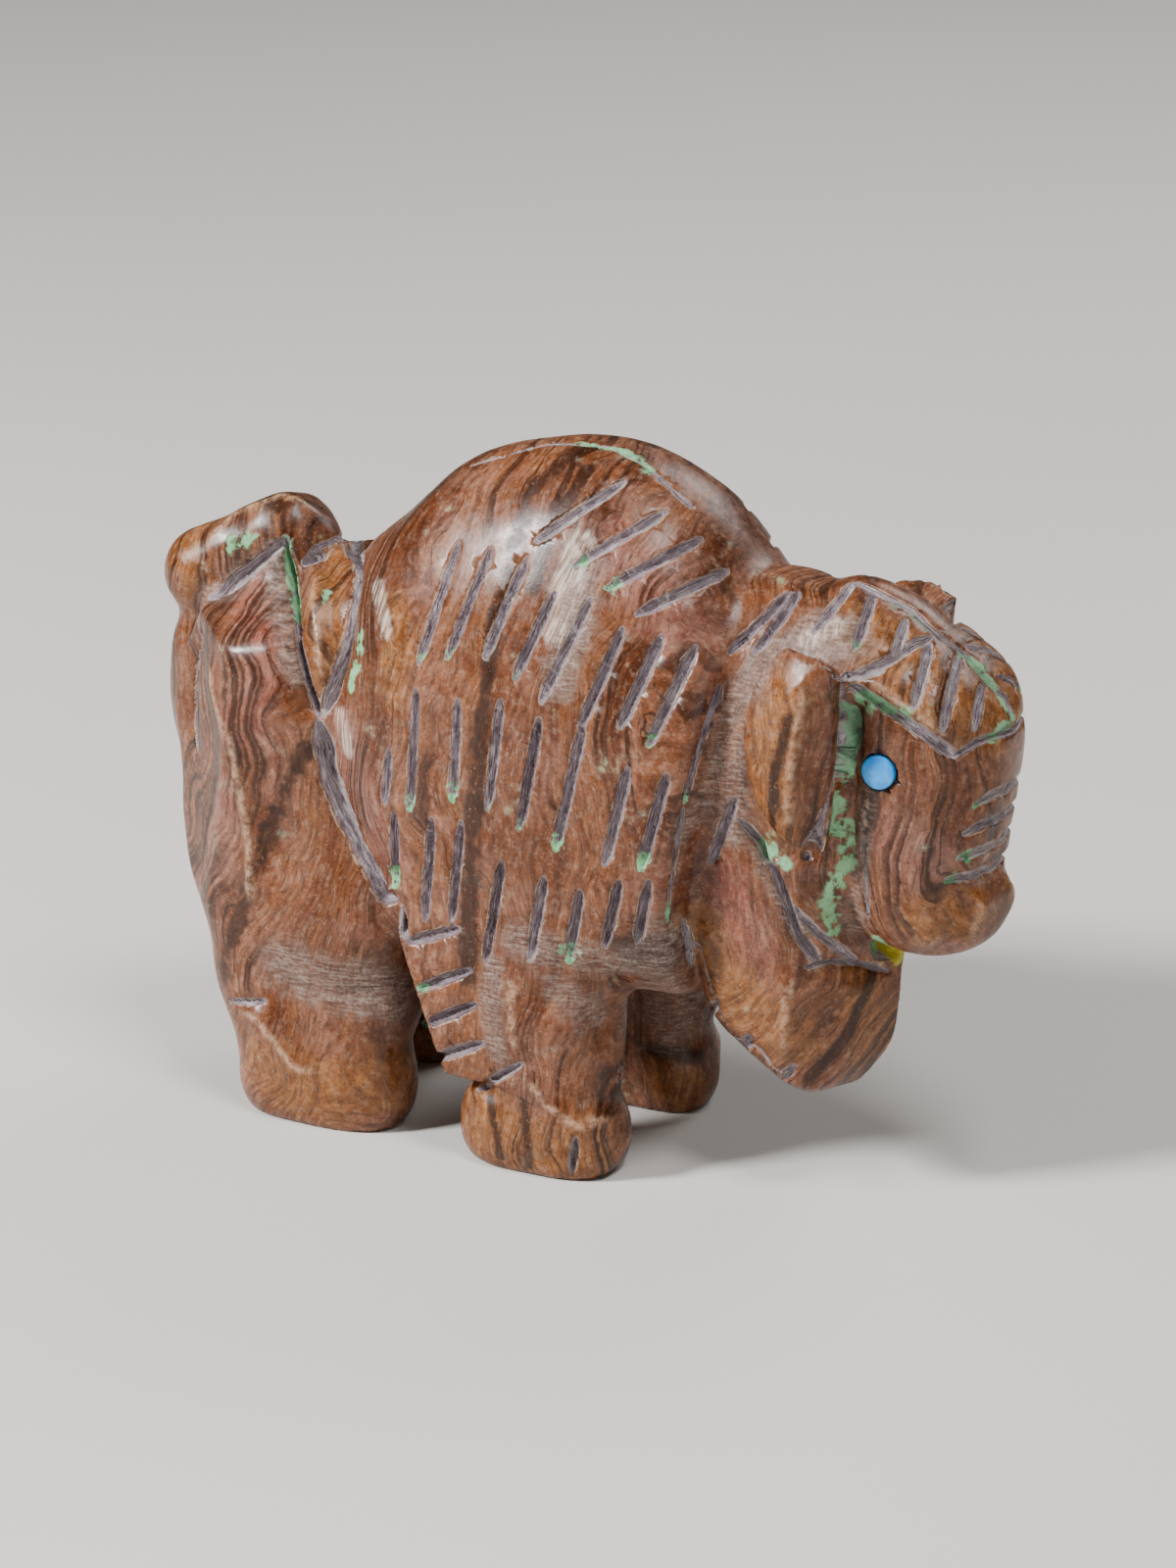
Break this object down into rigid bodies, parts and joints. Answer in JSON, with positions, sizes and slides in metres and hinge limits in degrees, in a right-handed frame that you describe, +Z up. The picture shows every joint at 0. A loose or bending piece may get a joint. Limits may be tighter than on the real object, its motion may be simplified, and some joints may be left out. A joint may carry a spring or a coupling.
{
  "type": "carved stone bison",
  "caption": "Small standing bison carved from one banded brown stone, with engraved hair strokes, relief horns and turquoise eye inlays.",
  "frame": {"origin": "on the ground under the middle of the carving's box", "axes": "+X towards the head, +Y towards the animal's left side, +Z up"},
  "size_m": [0.066, 0.0236, 0.0516],
  "materials": {
    "banded_stone": "polished, with rough engraved strokes",
    "right_turquoise": "polished",
    "left_turquoise": "polished"
  },
  "bodies": {
    "root": {"bison": "banded_stone", "right_eye_inlay": "right_turquoise", "left_eye_inlay": "left_turquoise"}
  },
  "joints": []
}
